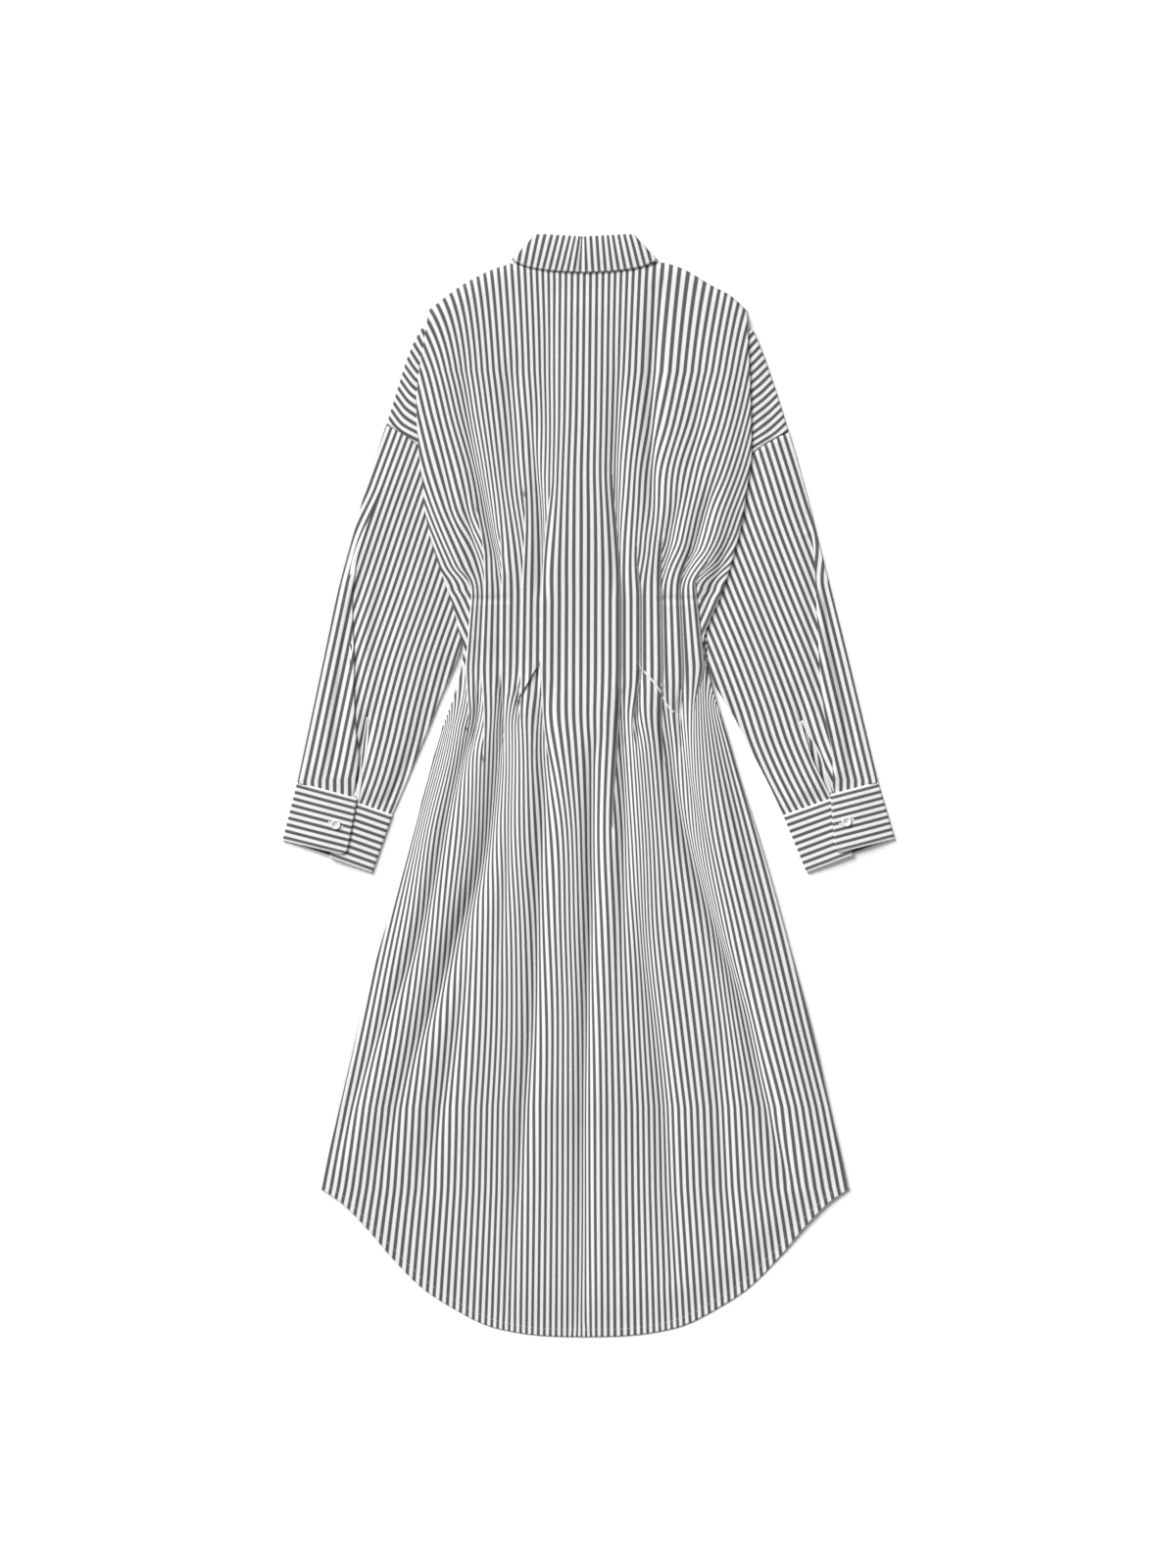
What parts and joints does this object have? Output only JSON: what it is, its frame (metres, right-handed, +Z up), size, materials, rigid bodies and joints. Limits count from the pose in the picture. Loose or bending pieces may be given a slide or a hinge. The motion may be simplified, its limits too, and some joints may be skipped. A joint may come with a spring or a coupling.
{
  "type": "shirt dress",
  "caption": "Striped long-sleeved shirt dress laid flat face down, with a folded collar, dropped shoulders, waist tucks, buttoned cuffs and a deep curved hem.",
  "frame": {"origin": "centre of the overall box, on the surface that the dress lies on", "axes": "+Y towards the collar, +X towards the wearer's right sleeve, +Z up, out of the dress's back; the fronts lie underneath"},
  "size_m": [0.6866, 1.2399, 0.0104],
  "materials": {
    "striped_cotton": "matt cotton poplin, white with dark grey warp stripes",
    "pearl_button": "polished off-white pearl resin"
  },
  "bodies": {
    "root": {"back_panel": "striped_cotton", "back_shoulder_left": "striped_cotton", "back_shoulder_right": "striped_cotton", "front_left": "striped_cotton", "front_right": "striped_cotton", "front_shoulder_left": "striped_cotton", "front_shoulder_right": "striped_cotton", "sleeve_left": "striped_cotton", "sleeve_right": "striped_cotton", "cuff_left": "striped_cotton", "cuff_right": "striped_cotton", "collar_leaf": "striped_cotton", "collar_stand": "striped_cotton", "cuff_button_left": "pearl_button", "cuff_button_right": "pearl_button", "front_button_00": "pearl_button", "front_button_01": "pearl_button", "front_button_02": "pearl_button", "front_button_03": "pearl_button", "front_button_04": "pearl_button", "front_button_05": "pearl_button", "front_button_06": "pearl_button", "front_button_07": "pearl_button", "front_button_08": "pearl_button", "front_button_09": "pearl_button"}
  },
  "joints": []
}
